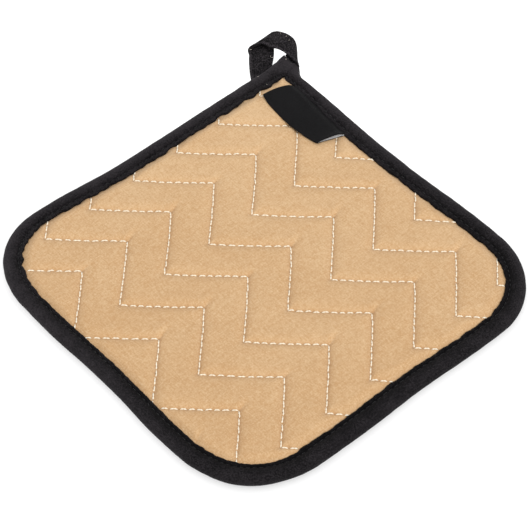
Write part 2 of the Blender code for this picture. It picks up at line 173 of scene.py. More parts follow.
CAMERA_PLACE = Vector((37.06, -726.16, 873.05)) * MM
CAMERA_AIM = Vector((0.54, 9.1, 0.0)) * MM
CAMERA_ROLL = math.radians(0.855)
CAMERA_LENS = 156.62
CAMERA_SENSOR = 36.0
PHOTO_WIDTH = 530

CAMERA_TURN = ((CAMERA_AIM - CAMERA_PLACE).to_track_quat("-Z", "Y")
               @ Quaternion((0.0, 0.0, 1.0), CAMERA_ROLL))


# ---- helpers ----

def ease(share):
    share = np.clip(share, 0.0, 1.0)
    return share * share * (3 - 2 * share)


def bump(distance, width):
    """1 at no distance, and fading to nearly 0 at twice the width."""
    return np.exp(-(distance / width) ** 2)


def column(rows, name):
    return np.array([getattr(row, name) for row in rows])


def waves(points, size, seed=0):
    """Smooth noise between about -1 and 1 at each point, with features of the given size."""
    shift = Vector((3.1, 7.7, 1.3)) * (seed + 1)
    return np.array([noise.noise(Vector((*point, 0.0)[:3]) / size + shift) for point in points]) * 1.6


def turned(u, v, angle):
    cos, sin = math.cos(angle), math.sin(angle)
    return u * cos - v * sin, u * sin + v * cos


def to_frame(u, v, z):
    """Pad coordinates to the part's frame."""
    half = math.sqrt(0.5)
    return np.stack([(u + v) * half, (v - u) * half, z], axis=-1)


def curve_through(places, steps):
    """A smooth curve through rows of coordinates, each of one place or of a strip's two edges."""
    places = np.asarray(places, float)
    padded = np.concatenate([places[:1], places, places[-1:]])
    ends = padded.reshape(len(padded), -1, 2 if places.shape[1] == 2 else 3)
    lengths = np.linalg.norm(np.diff(ends, axis=0), axis=2).mean(1)
    knots = np.concatenate([[0.0], np.cumsum(np.sqrt(lengths + MM))])
    made = []
    for i in range(1, len(places)):
        for step in range(steps):
            at = knots[i] + (knots[i + 1] - knots[i]) * step / steps
            level = [padded[k] for k in range(i - 1, i + 3)]
            for spans in (((0, 1), (1, 2), (2, 3)), ((0, 2), (1, 3)), ((1, 2),)):
                closer = []
                for k, (start, end) in enumerate(spans):
                    low = knots[i - 1 + start]
                    high = knots[i - 1 + end]
                    share = (at - low) / (high - low)
                    closer.append(level[k] * (1 - share) + level[k + 1] * share)
                level = closer
            made.append(level[0])
    made.append(places[-1])
    return np.array(made)


def running_length(line):
    """The length of a line up to each of its places."""
    return np.concatenate([[0.0], np.cumsum(np.linalg.norm(np.diff(line, axis=0), axis=1))])


def unit(vectors):
    return vectors / (np.linalg.norm(vectors, axis=-1, keepdims=True) + 1e-12)


def normals(middle):
    """The directions that stand square on a grid of places."""
    return unit(np.cross(np.gradient(middle, axis=0), np.gradient(middle, axis=1)))


def mesh_piece(name, places, faces, material, uv=None, pressed=None):
    mesh = bpy.data.meshes.new(name)
    mesh.from_pydata([tuple(place) for place in places], [], [tuple(face) for face in faces])
    mesh.materials.append(material)
    if uv is not None:
        layer = mesh.uv_layers.new(name="tape")
        corners = np.zeros(len(mesh.loops), np.int32)
        mesh.loops.foreach_get("vertex_index", corners)
        layer.data.foreach_set("uv", np.asarray(uv, np.float32)[corners].ravel())
    # A point attribute of painted shade, which the tan cloth's colour reads.
    if pressed is not None:
        mark = mesh.attributes.new("pressed", "FLOAT", "POINT")
        mark.data.foreach_set("value", np.asarray(pressed, np.float32))
    mesh.validate()
    mesh.shade_smooth()
    piece = bpy.data.objects.new(name, mesh)
    bpy.context.scene.collection.objects.link(piece)
    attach(piece, "root")
    return piece


def grid_faces(rows, columns, closed_rows=False, closed_columns=False):
    """Faces of a grid whose places are numbered row by row."""
    faces = []
    for i in range(rows if closed_rows else rows - 1):
        for k in range(columns if closed_columns else columns - 1):
            after = (i + 1) % rows
            beside = (k + 1) % columns
            faces.append((i * columns + k, i * columns + beside,
                          after * columns + beside, after * columns + k))
    return faces


def slab(name, middle, half_thickness, material, inner=None):
    """A closed sheet round a grid of places at its mid-thickness."""
    rows, columns, _ = middle.shape
    offset = normals(middle) * half_thickness[..., None]
    places = np.concatenate([(middle + offset).reshape(-1, 3), (middle - offset).reshape(-1, 3)])
    count = rows * columns
    lower = grid_faces(rows, columns)
    upper = [face[::-1] for face in lower]
    lower = [tuple(i + count for i in face) for face in lower]
    rim = (list(range(columns))
           + [i * columns + columns - 1 for i in range(1, rows)]
           + [(rows - 1) * columns + k for k in range(columns - 2, -1, -1)]
           + [i * columns for i in range(rows - 2, 0, -1)])
    sides = [(rim[i - 1], rim[i], rim[i] + count, rim[i - 1] + count) for i in range(len(rim))]
    lengths = running_length(middle[:, columns // 2])
    widths = np.linalg.norm(np.diff(middle, axis=1), axis=2)
    widths = np.concatenate([np.zeros((rows, 1)), np.cumsum(widths, axis=1)], axis=1)
    uv = np.stack([np.repeat(lengths[:, None], columns, axis=1), widths], axis=-1).reshape(-1, 2)
    piece = mesh_piece(name, places, upper + lower + sides, material, np.concatenate([uv, uv]))
    if inner is not None:
        piece.data.materials.append(inner)
        marks = [0] * len(upper) + [1] * len(lower) + [0] * len(sides)
        piece.data.polygons.foreach_set("material_index", marks)
    return piece


# ---- materials ----

class Nodes:
    """A material's node tree with a Principled shader, built up node by node."""

    def __init__(self, name):
        self.material = bpy.data.materials.new(name)
        self.material.use_nodes = True
        self.tree = self.material.node_tree
        self.shader = self.tree.nodes["Principled BSDF"]

    def add(self, kind, inputs=None, **settings):
        made = self.tree.nodes.new("ShaderNode" + kind)
        for name, value in settings.items():
            setattr(made, name, value)
        for name, value in (inputs or {}).items():
            if isinstance(value, bpy.types.NodeSocket):
                self.tree.links.new(value, made.inputs[name])
            else:
                made.inputs[name].default_value = value
        return made

    def math(self, operation, first, second):
        return self.add("Math", {0: first, 1: second}, operation=operation).outputs[0]

    def noise(self, place, scale, detail=2.0, roughness=0.5):
        return self.add("TexNoise", {"Vector": place, "Scale": scale, "Detail": detail,
                                     "Roughness": roughness}).outputs["Fac"]

    def stretched(self, place, x, y, z=1.0):
        return self.add("Mapping", {"Vector": place, "Scale": (x, y, z)}).outputs[0]

    def turned(self, place, angle):
        return self.add("Mapping", {"Vector": place, "Rotation": (0, 0, angle)}).outputs[0]

    def along(self, axis, place):
        return self.add("SeparateXYZ", {"Vector": place}).outputs[axis]

    def threads(self, place, pitch, direction):
        """Bands of threads, pitch apart, a little uneven."""
        scale = 2 * math.pi / 20 / pitch
        return self.add("TexWave", {"Vector": place, "Scale": scale, "Distortion": 0.6,
                                    "Detail": 1.0, "Detail Scale": 0.4},
                        wave_type="BANDS", bands_direction=direction).outputs["Fac"]

    def blend(self, share, first, second):
        made = self.add("Mix", {0: share, 6: first, 7: second}, data_type="RGBA")
        return made.outputs[2]

    def ranged(self, value, low, high, to_low, to_high):
        return self.add("MapRange", {0: value, 1: low, 2: high, 3: to_low, 4: to_high}).outputs[0]

    def total(self, *values):
        made = values[0]
        for value in values[1:]:
            made = self.math("ADD", made, value)
        return made

    def relief(self, height, distance, strength=1.0, under=None):
        inputs = {"Height": height, "Distance": distance, "Strength": strength}
        if under is not None:
            inputs["Normal"] = under
        return self.add("Bump", inputs).outputs[0]

    def finish(self, colour, normal, roughness, sheen=0.0, sheen_roughness=0.5, specular=0.5):
        shader = self.shader.inputs
        self.tree.links.new(colour, shader["Base Color"])
        self.tree.links.new(normal, shader["Normal"])
        shader["Roughness"].default_value = roughness
        shader["Sheen Weight"].default_value = sheen
        shader["Sheen Roughness"].default_value = sheen_roughness
        shader["Specular IOR Level"].default_value = specular
        return self.material


# What a shade gets from a value, at the low end and at the high end of that value.
Tone = namedtuple("Tone", "low high at_low at_high")
TAN_MOTTLE = Tone(0.3, 0.7, -1.0, 1.0)
TAN_SLUBS = Tone(0.25, 0.75, -0.6, 0.6)
TAN_CLOUDS = Tone(0.3, 0.7, -0.25, 0.25)
TAN_WEAVE = Tone(0.1, 0.6, -0.2, 0.1)
# Painted light: the tan cloth is paler towards the far side, by the loop corner.
TAN_FAR_PAINTED_LIGHT = Tone(-0.12, 0.12, -0.5, 0.36)
TAN_ALL = Tone(-1.2, 1.2, 0.0, 1.0)
TAN_TURN = math.radians(46)


def tan_cotton():
    nodes = Nodes("tan_cotton")
    place = nodes.add("TexCoord").outputs["Object"]
    woven = nodes.turned(place, TAN_TURN)
    warp = nodes.threads(woven, 0.55 * MM, "X")
    weft = nodes.threads(woven, 0.6 * MM, "Y")
    warp_slubs = nodes.noise(nodes.stretched(woven, 1.0, 0.14), 1700)
    weft_slubs = nodes.noise(nodes.stretched(woven, 0.14, 1.0), 1600)
    mottle = nodes.noise(woven, 1300, 2.0, 0.6)
    cloudy = nodes.noise(woven, 28)
    weave = nodes.math("ADD", nodes.math("MULTIPLY", warp, weft),
                       nodes.math("MULTIPLY", warp_slubs, weft_slubs))
    # Painted light: paler towards the far side of the pad, by its Y place.
    far = nodes.along("Y", place)
    shade = nodes.total(nodes.ranged(mottle, *TAN_MOTTLE), nodes.ranged(warp_slubs, *TAN_SLUBS),
                        nodes.ranged(weft_slubs, *TAN_SLUBS), nodes.ranged(cloudy, *TAN_CLOUDS),
                        nodes.ranged(weave, *TAN_WEAVE), nodes.ranged(far, *TAN_FAR_PAINTED_LIGHT))
    # Painted shade: the cloth darkens towards TAN_SHADED in the seams, at the needle holes and beside the
    # falling seams.
    pressed = nodes.add("Attribute", attribute_name="pressed").outputs["Fac"]
    colour = nodes.blend(nodes.ranged(shade, *TAN_ALL), TAN_DARK, TAN_LIGHT)
    colour = nodes.blend(nodes.math("MULTIPLY", pressed, 0.5), colour, TAN_SHADED)
    normal = nodes.relief(weave, 0.14 * MM, 0.5)
    normal = nodes.relief(mottle, 0.20 * MM, 0.32, normal)
    return nodes.finish(colour, normal, 0.9, sheen=0.08, sheen_roughness=0.6, specular=0.1)


BLACK_SLUBS = Tone(0.25, 0.75, -0.25, 0.25)
BLACK_WORN = Tone(0.35, 0.7, -0.25, 0.3)
# Painted light: the black tape is paler towards the far left of the pad.
BLACK_FAR_LEFT_PAINTED_LIGHT = Tone(-0.1, 0.1, 0.55, -0.45)
BLACK_ALL = Tone(-1.0, 1.3, 0.0, 1.0)
FAR_LEFT_TURN = math.radians(63)


def black_cotton(name, dark, light, pitch, sheen, rib=0.5, nap=0.5, pressed=(), painted_light_across=None):
    """Woven tape: its threads run along and across it, by its own map.

    It has painted shade along lines across it, each given as a place across it, half a width and a depth
    (a painted highlight where the depth is below 0). With two places across it as its last argument it has
    painted light: paler at the first of those places than at the second, and paler towards the far left of
    the pad.
    """
    nodes = Nodes(name)
    place = nodes.add("UVMap", uv_map="tape").outputs[0]
    solid = nodes.add("TexCoord").outputs["Object"]
    warp = nodes.threads(place, pitch, "X")
    weft = nodes.threads(place, pitch * 1.1, "Y")
    slubs = nodes.noise(nodes.stretched(place, 0.15, 1.0), 1600)
    fuzz = nodes.noise(solid, 1500, 2.0, 0.6)
    worn = nodes.noise(solid, 120, 3.0)
    weave = nodes.math("MULTIPLY", warp, weft)
    across = nodes.along("Y", place)
    shade = nodes.total(nodes.ranged(weave, 0.0, 1.0, -rib, 1.3 * rib), nodes.ranged(slubs, *BLACK_SLUBS),
                        nodes.ranged(fuzz, 0.35, 0.7, -0.9 * nap, 1.2 * nap),
                        nodes.ranged(worn, *BLACK_WORN))
    # Painted shade along each line; a depth below 0 paints a highlight.
    for line, half_width, depth in pressed:
        off = nodes.math("ABSOLUTE", nodes.math("SUBTRACT", across, line), 0.0)
        shade = nodes.total(shade, nodes.ranged(off, 0.0, half_width, -depth, 0.0))
    # Painted light: paler on the tape's crown and darker towards its groove, and paler towards the far left
    # of the pad.
    if painted_light_across:
        far_left = nodes.along("X", nodes.turned(solid, FAR_LEFT_TURN))
        shade = nodes.total(shade, nodes.ranged(across, *painted_light_across, 0.65, -0.45),
                            nodes.ranged(far_left, *BLACK_FAR_LEFT_PAINTED_LIGHT))
    colour = nodes.blend(nodes.ranged(shade, *BLACK_ALL), dark, light)
    normal = nodes.relief(weave, 0.14 * MM, 0.55)
    normal = nodes.relief(fuzz, 0.2 * MM, 0.4, normal)
    return nodes.finish(colour, normal, 0.8, sheen=sheen, sheen_roughness=0.5, specular=0.10)


def thread_cotton(name, dark, light, roughness):
    nodes = Nodes(name)
    place = nodes.add("TexCoord").outputs["Object"]
    fibres = nodes.noise(place, 2500)
    colour = nodes.blend(fibres, dark, light)
    normal = nodes.relief(fibres, 0.05 * MM, 0.4)
    return nodes.finish(colour, normal, roughness, sheen=0.2, specular=0.3)


TAN_DARK = (0.572, 0.341, 0.162, 1.0)
TAN_LIGHT = (0.728, 0.500, 0.285, 1.0)
TAN_SHADED = (0.300, 0.165, 0.085, 1.0)
BLACK_DARK = (0.0015, 0.0012, 0.0016, 1.0)
BLACK_LIGHT = (0.0355, 0.0308, 0.0344, 1.0)
TAIL_LIGHT = (0.0560, 0.0490, 0.0540, 1.0)
LABEL_DARK = (0.0045, 0.0042, 0.0046, 1.0)
LABEL_LIGHT = (0.0130, 0.0125, 0.0135, 1.0)
REVERSE_DARK = (0.40, 0.40, 0.41, 1.0)
REVERSE_LIGHT = (0.80, 0.80, 0.81, 1.0)
THREAD_DARK = (0.93, 0.82, 0.65, 1.0)
THREAD_LIGHT = (0.99, 0.94, 0.79, 1.0)
BLACK_THREAD_DARK = (0.003, 0.0027, 0.003, 1.0)
BLACK_THREAD_LIGHT = (0.006, 0.0056, 0.0063, 1.0)


# ---- the pad's outline ----

LOOP_ARC = 19.6 * MM


def tab_at(turn):
    """How far the tape's tail reaches out and rises, by its place round the loop corner."""
    turns = column(TAB, "turn")
    return np.interp(turn, turns, column(TAB, "reach")), np.interp(turn, turns, column(TAB, "rise"))


def outward_of(start, end):
    along = (end - start) / np.linalg.norm(end - start)
    return np.array([-along[1], along[0]])


def corner_rows(i, here):
    """The outline's rows round one of the corners, whose sharp places are here."""
    corner = CORNERS[i]
    first = outward_of(here[i - 1], here[i])
    last = outward_of(here[i], here[(i + 1) % len(CORNERS)])
    half_turn = math.acos(first @ last) / 2
    middle = (first + last) / np.linalg.norm(first + last)
    centre = here[i] - middle * (corner.radius / math.cos(half_turn))
    at_loop = corner.name == "loop"
    steps = LOOP_CORNER_STEPS if at_loop else round(corner.radius * 2 * half_turn / OUTLINE_STEP)
    rows = []
    for step in range(steps + 1):
        turn = step / steps
        outward = np.array(turned(*first, -2 * half_turn * turn))
        point = centre + outward * corner.radius
        width = CORNERS[i - 1].width * (1 - turn) + corner.width * turn
        if at_loop:
            width = np.interp(turn, column(LOOP_WIDTHS, "turn"), column(LOOP_WIDTHS, "width"))
        tab = tab_at(turn) if at_loop else (0.0, 0.0)
        rows.append([*point, *outward, width / TAPE_WIDTH, *tab, turn if at_loop else -1.0])
    return rows


def side_rows(side, start, end):
    """The outline's rows between two corners: they bow inward and blend the corners' widths."""
    outward = outward_of(start[:2], end[:2])
    steps = round(np.linalg.norm(end[:2] - start[:2]) / OUTLINE_STEP)
    rows = []
    for step in range(1, steps):
        share = step / steps
        inward = side.bow * math.sin(math.pi * share) ** 2
        point = start[:2] * (1 - share) + end[:2] * share - outward * inward
        middle = side.width / TAPE_WIDTH
        from_start = 1 - ease(share / LOOP_WIDTH_SHARE)
        from_end = 1 - ease((1 - share) / LOOP_WIDTH_SHARE)
        spread = middle + (start[4] - middle) * from_start + (end[4] - middle) * from_end
        tab = (0.0, 0.0)
        if side.name == "loop":
            tab = tab_at(1 + np.linalg.norm(point - start[:2]) / LOOP_ARC)
        rows.append([*point, *outward, spread, *tab, -1.0])
    return rows


def outline():
    """Rows of u, v, outward u, outward v, spread, reach, rise and turn, clockwise from above."""
    here = [np.array([c.u_sign * (HALF_SIDE + c.u_out), c.v_sign * (HALF_SIDE + c.v_out)])
            for c in CORNERS]
    rounded = [corner_rows(i, here) for i in range(len(CORNERS))]
    stations = []
    for side, rows, following in zip(CORNERS, rounded, rounded[1:] + rounded[:1]):
        stations += rows + side_rows(side, np.array(rows[-1]), np.array(following[0]))
    return strayed(np.array(stations))


def strayed(stations):
    """The stations with the tape's bows: its outer edge moves, and its width takes up the rest."""
    along_x = stations[:, 0] + stations[:, 1]
    along_y = stations[:, 1] - stations[:, 0]
    angle = np.degrees(np.arctan2(along_y, along_x))
    outer = np.zeros(len(stations))
    lip = np.zeros(len(stations))
    for bow in TAPE_BOWS:
        off = (angle - bow.angle + 180) % 360 - 180
        outer += bow.outer * bump(off, bow.width)
        lip += bow.lip * bump(off, bow.width)
    stations[:, :2] += stations[:, 2:4] * outer[:, None]
    stations[:, 4] += (outer - lip) / TAPE_WIDTH
    return stations


OUTLINE_STEP = 1.0 * MM
LOOP_CORNER_STEPS = 60
edge = outline()
edge_along = running_length(edge[:, :2])


def inset_of(u, v):
    """How far places lie inside the outline, in the measure of the tape's nominal width."""
    coarse = edge[::2]
    after = np.roll(coarse, -1, axis=0)
    side = after[:, :2] - coarse[:, :2]
    length = (side ** 2).sum(1)
    inset = np.empty(len(u))
    for start in range(0, len(u), 4000):
        part = slice(start, start + 4000)
        to_u = u[part, None] - coarse[None, :, 0]
        to_v = v[part, None] - coarse[None, :, 1]
        share = np.clip((to_u * side[:, 0] + to_v * side[:, 1]) / length, 0, 1)
        off_u = to_u - side[:, 0] * share
        off_v = to_v - side[:, 1] * share
        distance = np.hypot(off_u, off_v)
        k = distance.argmin(1)
        rows = np.arange(len(k))
        sign = np.sign(off_u[rows, k] * coarse[k, 2] + off_v[rows, k] * coarse[k, 3])
        spread = coarse[k, 4] * (1 - share[rows, k]) + after[k, 4] * share[rows, k]
        inset[part] = -sign * distance[rows, k] / spread
    return inset


def corner_lift(u, v):
    corner = CORNERS[0]
    distance = np.hypot(u - corner.u_sign * (HALF_SIDE + corner.u_out),
                        v - corner.v_sign * (HALF_SIDE + corner.v_out))
    return CORNER_LIFT * ease((NO_LIFT_BEYOND - distance) / (NO_LIFT_BEYOND - FULL_LIFT_WITHIN))


# ---- the quilting ----

def stray(along):
    """How far the stitching lies off its pattern, along it and across it."""
    phase = (along - FIRST_LOW_CORNER[0]) / ZIGZAG_PERIOD
    places = column(LEG_BENDS, "share") / 2
    back = np.interp(phase, places, column(LEG_BENDS, "back"), period=1) * MM
    right = np.interp(phase - 0.5, places, column(LEG_BENDS, "right"), period=1) * MM
    half = math.sqrt(0.5)
    return (right - back) * half, (right + back) * half


def on_pattern(along, across):
    """The places of the pattern that were sewn at these places."""
    found = along
    for _ in range(3):
        off_along, off_across = stray(found)
        found = along - off_along
    return found, across - off_across


def seam_legs():
    """Every leg of every row: its row number, start and end, in rows' coordinates."""
    legs = []
    half = ZIGZAG_PERIOD / 2
    for row in ROW_NUMBERS:
        for k in LEG_NUMBERS:
            low = (FIRST_LOW_CORNER[0] + k * ZIGZAG_PERIOD, FIRST_LOW_CORNER[1] + row * ROW_SPACING)
            high = (low[0] + half, low[1] + half)
            legs.append((row, *low, *high))
            legs.append((row, *high, low[0] + 2 * half, low[1]))
    return np.array(legs)


LEGS = seam_legs()
STITCHES_PER_LEG = 10
FEWER_STITCHES = 0.3
STITCH_SLANT = 0.12 * MM
RISING_STITCH = (0.09, 0.88)
FALLING_STITCH = (0.03, 0.97)

# How deep the seams and their creases are, how high the puckers and swells, and how much painted shade
# lies beside the falling seams.
STITCH_DEPTH = 0.62 * MM
CREASE_DEPTH = 0.80 * MM
BACK_DEPTH = 0.9 * MM
BACK_REACH = 3.3 * MM
FINE_PUCKER = 0.10 * MM
BROAD_PUCKER = 0.16 * MM
LARGE_SWELL = 0.20 * MM
SMALL_SWELL = 0.05 * MM
FALLING_SHADE = 0.17


def seam_distances(along, across):
    """Distance to the row below and to the row above, and how far along its leg the nearest is."""
    phase = ((along - FIRST_LOW_CORNER[0]) / ZIGZAG_PERIOD) % 1.0
    height = ZIGZAG_PERIOD / 2 * (1 - np.abs(2 * phase - 1))
    below = np.floor((across - FIRST_LOW_CORNER[1] - height) / ROW_SPACING)
    found = []
    for row_above in (0, 1):
        nearest = np.full(len(along), 1.0)
        place = np.zeros(len(along))
        seam = np.zeros(len(along))
        for row in ROW_NUMBERS:
            mine = np.where(below + row_above == row)[0]
            if not len(mine):
                continue
            for number in np.nonzero(LEGS[:, 0] == row)[0]:
                leg = LEGS[number]
                side = leg[3:5] - leg[1:3]
                to_a = along[mine] - leg[1]
                to_b = across[mine] - leg[2]
                share = np.clip((to_a * side[0] + to_b * side[1]) / (side @ side), 0, 1)
                distance = np.hypot(to_a - side[0] * share, to_b - side[1] * share)
                closer = distance < nearest[mine]
                nearest[mine[closer]] = distance[closer]
                place[mine[closer]] = share[closer]
                seam[mine[closer]] = number
        found.append((nearest, place, seam))
    return found


Quilting = namedtuple("Quilting", "crown distance place seam along across")


def quilting(u, v):
    """The quilting at each place: how full the pad is, its nearest seam and the place on the pattern."""
    along, across = on_pattern(*turned(u, v, -ROWS_TURN))
    (low, low_place, low_seam), (high, high_place, high_seam) = seam_distances(along, across)
    gap = ROW_SPACING / math.sqrt(2)
    share = np.clip(4 * low * high / (low + high) / gap, 0.0, 1.0)
    crown = 1 - (1 - share) ** 2.1
    distance = np.minimum(low, high)
    place = np.where(low < high, low_place, high_place)
    seam = np.where(low < high, low_seam, high_seam)
    return Quilting(crown, distance, place, seam, along, across)


def puckers(here, seed):
    """Small wrinkles that run out from the seams, finer along them than away from them."""
    distance = here.distance
    points = np.stack([(here.seam * 1.7 + here.place) * 40 * MM, distance * 0.35], axis=-1)
    inner_share = ease(np.minimum(here.place, 1 - here.place) / 0.08)
    fine = FINE_PUCKER * waves(points, 3.4 * MM, seed) * bump(distance - 1.6 * MM, 1.8 * MM)
    broad = BROAD_PUCKER * waves(points, 7.5 * MM, seed + 20) * bump(distance - 3.2 * MM, 3.4 * MM)
    return (fine + broad) * inner_share


def high_corner_creases(along, across):
    """A short crease that runs up from each high corner of the rows."""
    half = ZIGZAG_PERIOD / 2
    count = np.round((along - FIRST_LOW_CORNER[0] - half) / ZIGZAG_PERIOD)
    off = along - FIRST_LOW_CORNER[0] - half - count * ZIGZAG_PERIOD
    row = np.floor((across - FIRST_LOW_CORNER[1] - half) / ROW_SPACING)
    up = across - FIRST_LOW_CORNER[1] - half - row * ROW_SPACING
    vary = np.sin(count * 2.3 + row * 1.9)
    lean = off + (0.10 + 0.15 * vary) * up
    depth = bump(lean, 0.7 * MM + 0.12 * up) - 0.45 * bump(lean + 3.0 * MM, 2.4 * MM)
    length = (9.5 + 2.5 * vary) * MM
    return depth * ease((length - up) / length) * ease(up / (0.8 * MM)) * (0.85 + 0.3 * vary)


def needle_holes(place):
    """1 at the holes along a leg, 0 between them."""
    return 0.5 + 0.5 * np.cos(2 * math.pi * STITCHES_PER_LEG * place)


def painted_seam_shade_at(u, v):
    """Painted shade of the cloth along the seams: most at the needle holes, and wider beside the falling
    seams.
    """
    here = quilting(u, v)
    holes = bump(here.distance, 0.62 * MM) * (0.3 + 0.7 * needle_holes(here.place) ** 2)
    falling = here.seam % 2
    return holes + FALLING_SHADE * falling * bump(here.distance, 2.2 * MM)


def swelled(inset, face, full):
    start = getattr(RIM[-1], face)
    share = np.clip((inset - RIM[-1].inset) / (SWELL_END - RIM[-1].inset), 0.0, 1.0)
    inside = start + (full - start) * np.sin(math.pi / 2 * share)
    under = np.interp(inset, column(RIM, "inset"), column(RIM, face))
    return np.where(inset > RIM[-1].inset, inside, under)


def top_height(u, v, inset):
    here = quilting(u, v)
    points = np.stack([u, v], axis=-1)
    full = TOP_AT_STITCHES + (TOP_AT_CROWN - TOP_AT_STITCHES) * here.crown
    full -= STITCH_DEPTH * bump(here.distance, 0.7 * MM) * (0.5 + 0.5 * needle_holes(here.place) ** 2)
    full += puckers(here, 1)
    full += LARGE_SWELL * waves(points, 15 * MM, 2) * here.crown
    full += SMALL_SWELL * waves(points, 4 * MM, 12) * here.crown
    full -= CREASE_DEPTH * high_corner_creases(here.along, here.across)
    return swelled(inset, "top", full) + corner_lift(u, v)


def bottom_height(u, v, inset):
    here = quilting(u, v)
    full = BACK_DEPTH * ease(1 - here.distance / BACK_REACH)
    full += (0.05 * MM + puckers(here, 5)).clip(min=0) * ease(here.distance / (3 * MM))
    return swelled(inset, "bottom", np.maximum(full, 0.0)) + corner_lift(u, v)


# ---- the pad ----

PAD_STEP = 1.12 * MM
PAD_FINE_STEP = 0.55 * MM
PAD_EDGE_INSET = 8.4 * MM


def graded_lines(seams):
    """Lines across the pad, closer together near the seams that run along them."""
    reach = 1.45 * HALF_SIDE
    lines = [-reach]
    while lines[-1] < reach:
        nearest = np.abs(seams - lines[-1]).min()
        lines.append(lines[-1] + PAD_STEP - (PAD_STEP - PAD_FINE_STEP) * bump(nearest, 2.0 * MM))
    return np.array(lines)


def quilted_pad(material):
    half = math.sqrt(0.5)
    rising = LEGS[LEGS[:, 4] > LEGS[:, 2]]
    falling = LEGS[LEGS[:, 4] < LEGS[:, 2]]
    x_lines = graded_lines((falling[:, 1] + falling[:, 2]) * half)
    y_lines = graded_lines((rising[:, 2] - rising[:, 1]) * half)
    x, y = np.meshgrid(x_lines, y_lines, indexing="ij")
    u, v = turned((x - y) * half, (x + y) * half, ROWS_TURN)
    shape = u.shape
    u, v = u.ravel(), v.ravel()
    near = np.maximum(np.abs(u), np.abs(v)) < HALF_SIDE
    inset = np.full(len(u), -1.0)
    inset[near] = inset_of(u[near], v[near])
    inside = (inset > PAD_EDGE_INSET).reshape(shape)
    cells = inside[:-1, :-1] & inside[1:, :-1] & inside[1:, 1:] & inside[:-1, 1:]
    i, k = np.nonzero(cells)
    first = i * shape[1] + k
    faces = np.stack([first, first + shape[1], first + shape[1] + 1, first + 1], axis=1)
    used, faces = np.unique(faces, return_inverse=True)
    faces = faces.reshape(-1, 4)
    u, v, inset = u[used], v[used], inset[used]
    top = to_frame(u, v, top_height(u, v, inset))
    bottom = to_frame(u, v, bottom_height(u, v, inset))
    count = len(used)
    sides = np.concatenate([faces[:, [m, (m + 1) % 4]] for m in range(4)])
    keys = {tuple(side) for side in sides}
    walls = [(b, a, a + count, b + count) for a, b in keys if (b, a) not in keys]
    every = [tuple(face) for face in faces] + [tuple(face[::-1] + count) for face in faces] + walls
    # Painted shade along the seams, for the cloth's colour.
    pressed = np.tile(painted_seam_shade_at(u, v), 2)
    return mesh_piece("quilted_cloth", np.concatenate([top, bottom]), every, material, pressed=pressed)


# ---- thread ----

def round_about(paths):
    """The directions beside and above each place of paths."""
    along = unit(np.gradient(paths, axis=1))
    beside = unit(np.cross(along, np.array([0.0, 0.0, 1.0])))
    return beside, np.cross(beside, along)


def strand(paths, radius, sides):
    """Round thread along several equal rows of places, as one mesh's places and faces."""
    paths = np.asarray(paths)
    count, steps, _ = paths.shape
    beside, above = round_about(paths)
    angles = 2 * math.pi * np.arange(sides) / sides
    taper = np.ones(steps)
    taper[0] = taper[-1] = THREAD_TIP
    ring = (beside[:, :, None] * np.cos(angles)[:, None] + above[:, :, None] * np.sin(angles)[:, None])
    places = paths[:, :, None] + ring * (radius * taper)[None, :, None, None]
    base = np.array(grid_faces(steps, sides, closed_columns=True))[:, ::-1]
    ends = [tuple(range(sides)), tuple(range((steps - 1) * sides, steps * sides))[::-1]]
    faces = []
    for k in range(count):
        shift = k * steps * sides
        faces += [tuple(face) for face in base + shift]
        faces += [tuple(i + shift for i in end) for end in ends]
    return places.reshape(-1, 3), faces


def two_ply(paths, radius, twist):
    """Each path as two strands that wind round each other."""
    paths = np.asarray(paths)
    beside, above = round_about(paths)
    angle = twist * 2 * math.pi * np.linspace(0, 1, paths.shape[1])[None, :, None]
    swing = (beside * np.cos(angle) + above * np.sin(angle)) * radius * PLY_SWING
    return np.concatenate([paths + swing, paths - swing])


def leg_stitches():
    """Rows of places along every quilting stitch, in pad coordinates."""
    rng = np.random.default_rng(SEED)
    shares = np.linspace(0, 1, 9)
    lines = []
    for leg in LEGS:
        start, end = leg[1:3], leg[3:5]
        side = np.array([start[1] - end[1], end[0] - start[0]]) / np.linalg.norm(end - start)
        first, last = RISING_STITCH if end[1] > start[1] else FALLING_STITCH
        count = STITCHES_PER_LEG - (rng.random() < FEWER_STITCHES)
        holes = (np.arange(count + 1) + rng.normal(0, 0.06, count + 1)) / count
        holes[0], holes[-1] = 0.0, 1.0
        for k in range(count):
            slant = rng.normal(STITCH_SLANT, STITCH_SLANT, 2) * (-1, 1)
            at = holes[k] + (holes[k + 1] - holes[k]) * (first + (last - first) * shares)
            off = slant[0] * (1 - shares) + slant[1] * shares
            lines.append(start + (end - start) * at[:, None] + side * off[:, None])
    lines = np.array(lines)
    along, across = lines[..., 0], lines[..., 1]
    off_along, off_across = stray(along)
    u, v = turned(along + off_along, across + off_across, ROWS_TURN)
    return np.stack([u, v], axis=-1)


def quilting_thread(name, material, height, face, least_inset, ply):
    """The stitches of one face of the pad: each an arch that dips into the cloth at both ends."""
    paths = leg_stitches()
    shares = np.linspace(0, 1, paths.shape[1])
    middle = paths.shape[1] // 2
    paths = paths[np.abs(paths[:, middle]).max(1) < HALF_SIDE]
    paths = paths[inset_of(paths[:, middle, 0], paths[:, middle, 1]) > least_inset]
    u, v = paths[..., 0].ravel(), paths[..., 1].ravel()
    z = height(u, v, inset_of(u, v)).reshape(paths.shape[:2])
    arch = THREAD_RADIUS * (-1.2 + 2.5 * np.sin(math.pi * shares) ** 0.4)
    z = z.mean(1, keepdims=True) * 0.35 + z * 0.65 + face * arch
    lines = to_frame(paths[..., 0], paths[..., 1], z)
    if ply:
        made = strand(two_ply(lines, THREAD_RADIUS, PLY_TWIST), THREAD_RADIUS * PLY_SHARE, 6)
    else:
        made = strand(lines, THREAD_RADIUS, 6)
    return mesh_piece(name, *made, material)


